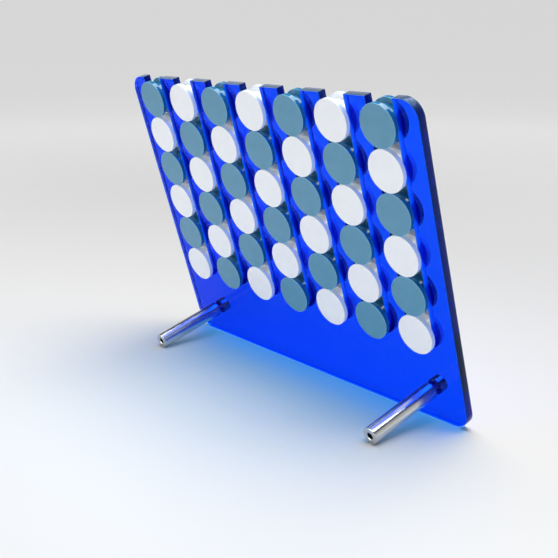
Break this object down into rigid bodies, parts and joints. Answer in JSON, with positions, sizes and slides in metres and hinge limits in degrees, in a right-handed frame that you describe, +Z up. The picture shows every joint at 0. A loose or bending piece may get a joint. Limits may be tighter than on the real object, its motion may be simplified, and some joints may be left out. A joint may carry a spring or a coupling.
{
  "type": "giant four in a row game",
  "caption": "Clear blue acrylic comb-shaped board leaning on round metal legs, whose open-topped slots hold stacked teal and white spool-shaped game pieces.",
  "frame": {"origin": "centre of the whole game's footprint box, on the floor it stands on", "axes": "+X along the board's width, +Z up, -Y towards the side that the legs stand out on and the board leans to"},
  "size_m": [0.6, 0.152, 0.4424],
  "materials": {
    "blue_acrylic": "clear saturated blue cast acrylic sheet, polished faces and edges",
    "teal_acrylic": "opaque teal acrylic, high gloss",
    "white_acrylic": "opaque white acrylic, high gloss",
    "polished_metal": "polished bright metal bar",
    "stud_metal": "plain threaded rod",
    "washer_plastic": "clear flexible plastic"
  },
  "bodies": {
    "board_and_legs": {"board": "blue_acrylic", "left_leg": "polished_metal", "left_leg_stud": "stud_metal", "left_leg_cap": "polished_metal", "left_leg_washer": "washer_plastic", "left_cap_washer": "washer_plastic", "right_leg": "polished_metal", "right_leg_stud": "stud_metal", "right_leg_cap": "polished_metal", "right_leg_washer": "washer_plastic", "right_cap_washer": "washer_plastic"},
    "piece_a1": {"white_piece_a1": "white_acrylic"},
    "piece_a2": {"teal_piece_a2": "teal_acrylic"},
    "piece_a3": {"white_piece_a3": "white_acrylic"},
    "piece_a4": {"teal_piece_a4": "teal_acrylic"},
    "piece_a5": {"white_piece_a5": "white_acrylic"},
    "piece_a6": {"teal_piece_a6": "teal_acrylic"},
    "piece_b1": {"teal_piece_b1": "teal_acrylic"},
    "piece_b2": {"white_piece_b2": "white_acrylic"},
    "piece_b3": {"teal_piece_b3": "teal_acrylic"},
    "piece_b4": {"white_piece_b4": "white_acrylic"},
    "piece_b5": {"teal_piece_b5": "teal_acrylic"},
    "piece_b6": {"white_piece_b6": "white_acrylic"},
    "piece_c1": {"white_piece_c1": "white_acrylic"},
    "piece_c2": {"teal_piece_c2": "teal_acrylic"},
    "piece_c3": {"white_piece_c3": "white_acrylic"},
    "piece_c4": {"teal_piece_c4": "teal_acrylic"},
    "piece_c5": {"white_piece_c5": "white_acrylic"},
    "piece_c6": {"teal_piece_c6": "teal_acrylic"},
    "piece_d1": {"teal_piece_d1": "teal_acrylic"},
    "piece_d2": {"white_piece_d2": "white_acrylic"},
    "piece_d3": {"teal_piece_d3": "teal_acrylic"},
    "piece_d4": {"white_piece_d4": "white_acrylic"},
    "piece_d5": {"teal_piece_d5": "teal_acrylic"},
    "piece_d6": {"white_piece_d6": "white_acrylic"},
    "piece_e1": {"white_piece_e1": "white_acrylic"},
    "piece_e2": {"teal_piece_e2": "teal_acrylic"},
    "piece_e3": {"white_piece_e3": "white_acrylic"},
    "piece_e4": {"teal_piece_e4": "teal_acrylic"},
    "piece_e5": {"white_piece_e5": "white_acrylic"},
    "piece_e6": {"teal_piece_e6": "teal_acrylic"},
    "piece_f1": {"teal_piece_f1": "teal_acrylic"},
    "piece_f2": {"white_piece_f2": "white_acrylic"},
    "piece_f3": {"teal_piece_f3": "teal_acrylic"},
    "piece_f4": {"white_piece_f4": "white_acrylic"},
    "piece_f5": {"teal_piece_f5": "teal_acrylic"},
    "piece_f6": {"white_piece_f6": "white_acrylic"},
    "piece_g1": {"white_piece_g1": "white_acrylic"},
    "piece_g2": {"teal_piece_g2": "teal_acrylic"},
    "piece_g3": {"white_piece_g3": "white_acrylic"},
    "piece_g4": {"teal_piece_g4": "teal_acrylic"},
    "piece_g5": {"white_piece_g5": "white_acrylic"},
    "piece_g6": {"teal_piece_g6": "teal_acrylic"}
  },
  "joints": [
    {"name": "lift_a1", "type": "slide", "parent": "board_and_legs", "child": "piece_a1", "axis": [0, -0.283, 0.9591], "range_m": [0, 0.3485]},
    {"name": "lift_a2", "type": "slide", "parent": "piece_a1", "child": "piece_a2", "axis": [0, -0.283, 0.9591], "range_m": [0, 0.2912]},
    {"name": "lift_a3", "type": "slide", "parent": "piece_a2", "child": "piece_a3", "axis": [0, -0.283, 0.9591], "range_m": [0, 0.2339]},
    {"name": "lift_a4", "type": "slide", "parent": "piece_a3", "child": "piece_a4", "axis": [0, -0.283, 0.9591], "range_m": [0, 0.1766]},
    {"name": "lift_a5", "type": "slide", "parent": "piece_a4", "child": "piece_a5", "axis": [0, -0.283, 0.9591], "range_m": [0, 0.1193]},
    {"name": "lift_a6", "type": "slide", "parent": "piece_a5", "child": "piece_a6", "axis": [0, -0.283, 0.9591], "range_m": [0, 0.062]},
    {"name": "lift_b1", "type": "slide", "parent": "board_and_legs", "child": "piece_b1", "axis": [0, -0.283, 0.9591], "range_m": [0, 0.3485]},
    {"name": "lift_b2", "type": "slide", "parent": "piece_b1", "child": "piece_b2", "axis": [0, -0.283, 0.9591], "range_m": [0, 0.2912]},
    {"name": "lift_b3", "type": "slide", "parent": "piece_b2", "child": "piece_b3", "axis": [0, -0.283, 0.9591], "range_m": [0, 0.2339]},
    {"name": "lift_b4", "type": "slide", "parent": "piece_b3", "child": "piece_b4", "axis": [0, -0.283, 0.9591], "range_m": [0, 0.1766]},
    {"name": "lift_b5", "type": "slide", "parent": "piece_b4", "child": "piece_b5", "axis": [0, -0.283, 0.9591], "range_m": [0, 0.1193]},
    {"name": "lift_b6", "type": "slide", "parent": "piece_b5", "child": "piece_b6", "axis": [0, -0.283, 0.9591], "range_m": [0, 0.062]},
    {"name": "lift_c1", "type": "slide", "parent": "board_and_legs", "child": "piece_c1", "axis": [0, -0.283, 0.9591], "range_m": [0, 0.3485]},
    {"name": "lift_c2", "type": "slide", "parent": "piece_c1", "child": "piece_c2", "axis": [0, -0.283, 0.9591], "range_m": [0, 0.2912]},
    {"name": "lift_c3", "type": "slide", "parent": "piece_c2", "child": "piece_c3", "axis": [0, -0.283, 0.9591], "range_m": [0, 0.2339]},
    {"name": "lift_c4", "type": "slide", "parent": "piece_c3", "child": "piece_c4", "axis": [0, -0.283, 0.9591], "range_m": [0, 0.1766]},
    {"name": "lift_c5", "type": "slide", "parent": "piece_c4", "child": "piece_c5", "axis": [0, -0.283, 0.9591], "range_m": [0, 0.1193]},
    {"name": "lift_c6", "type": "slide", "parent": "piece_c5", "child": "piece_c6", "axis": [0, -0.283, 0.9591], "range_m": [0, 0.062]},
    {"name": "lift_d1", "type": "slide", "parent": "board_and_legs", "child": "piece_d1", "axis": [0, -0.283, 0.9591], "range_m": [0, 0.3485]},
    {"name": "lift_d2", "type": "slide", "parent": "piece_d1", "child": "piece_d2", "axis": [0, -0.283, 0.9591], "range_m": [0, 0.2912]},
    {"name": "lift_d3", "type": "slide", "parent": "piece_d2", "child": "piece_d3", "axis": [0, -0.283, 0.9591], "range_m": [0, 0.2339]},
    {"name": "lift_d4", "type": "slide", "parent": "piece_d3", "child": "piece_d4", "axis": [0, -0.283, 0.9591], "range_m": [0, 0.1766]},
    {"name": "lift_d5", "type": "slide", "parent": "piece_d4", "child": "piece_d5", "axis": [0, -0.283, 0.9591], "range_m": [0, 0.1193]},
    {"name": "lift_d6", "type": "slide", "parent": "piece_d5", "child": "piece_d6", "axis": [0, -0.283, 0.9591], "range_m": [0, 0.062]},
    {"name": "lift_e1", "type": "slide", "parent": "board_and_legs", "child": "piece_e1", "axis": [0, -0.283, 0.9591], "range_m": [0, 0.3485]},
    {"name": "lift_e2", "type": "slide", "parent": "piece_e1", "child": "piece_e2", "axis": [0, -0.283, 0.9591], "range_m": [0, 0.2912]},
    {"name": "lift_e3", "type": "slide", "parent": "piece_e2", "child": "piece_e3", "axis": [0, -0.283, 0.9591], "range_m": [0, 0.2339]},
    {"name": "lift_e4", "type": "slide", "parent": "piece_e3", "child": "piece_e4", "axis": [0, -0.283, 0.9591], "range_m": [0, 0.1766]},
    {"name": "lift_e5", "type": "slide", "parent": "piece_e4", "child": "piece_e5", "axis": [0, -0.283, 0.9591], "range_m": [0, 0.1193]},
    {"name": "lift_e6", "type": "slide", "parent": "piece_e5", "child": "piece_e6", "axis": [0, -0.283, 0.9591], "range_m": [0, 0.062]},
    {"name": "lift_f1", "type": "slide", "parent": "board_and_legs", "child": "piece_f1", "axis": [0, -0.283, 0.9591], "range_m": [0, 0.3485]},
    {"name": "lift_f2", "type": "slide", "parent": "piece_f1", "child": "piece_f2", "axis": [0, -0.283, 0.9591], "range_m": [0, 0.2912]},
    {"name": "lift_f3", "type": "slide", "parent": "piece_f2", "child": "piece_f3", "axis": [0, -0.283, 0.9591], "range_m": [0, 0.2339]},
    {"name": "lift_f4", "type": "slide", "parent": "piece_f3", "child": "piece_f4", "axis": [0, -0.283, 0.9591], "range_m": [0, 0.1766]},
    {"name": "lift_f5", "type": "slide", "parent": "piece_f4", "child": "piece_f5", "axis": [0, -0.283, 0.9591], "range_m": [0, 0.1193]},
    {"name": "lift_f6", "type": "slide", "parent": "piece_f5", "child": "piece_f6", "axis": [0, -0.283, 0.9591], "range_m": [0, 0.062]},
    {"name": "lift_g1", "type": "slide", "parent": "board_and_legs", "child": "piece_g1", "axis": [0, -0.283, 0.9591], "range_m": [0, 0.3485]},
    {"name": "lift_g2", "type": "slide", "parent": "piece_g1", "child": "piece_g2", "axis": [0, -0.283, 0.9591], "range_m": [0, 0.2912]},
    {"name": "lift_g3", "type": "slide", "parent": "piece_g2", "child": "piece_g3", "axis": [0, -0.283, 0.9591], "range_m": [0, 0.2339]},
    {"name": "lift_g4", "type": "slide", "parent": "piece_g3", "child": "piece_g4", "axis": [0, -0.283, 0.9591], "range_m": [0, 0.1766]},
    {"name": "lift_g5", "type": "slide", "parent": "piece_g4", "child": "piece_g5", "axis": [0, -0.283, 0.9591], "range_m": [0, 0.1193]},
    {"name": "lift_g6", "type": "slide", "parent": "piece_g5", "child": "piece_g6", "axis": [0, -0.283, 0.9591], "range_m": [0, 0.062]}
  ]
}
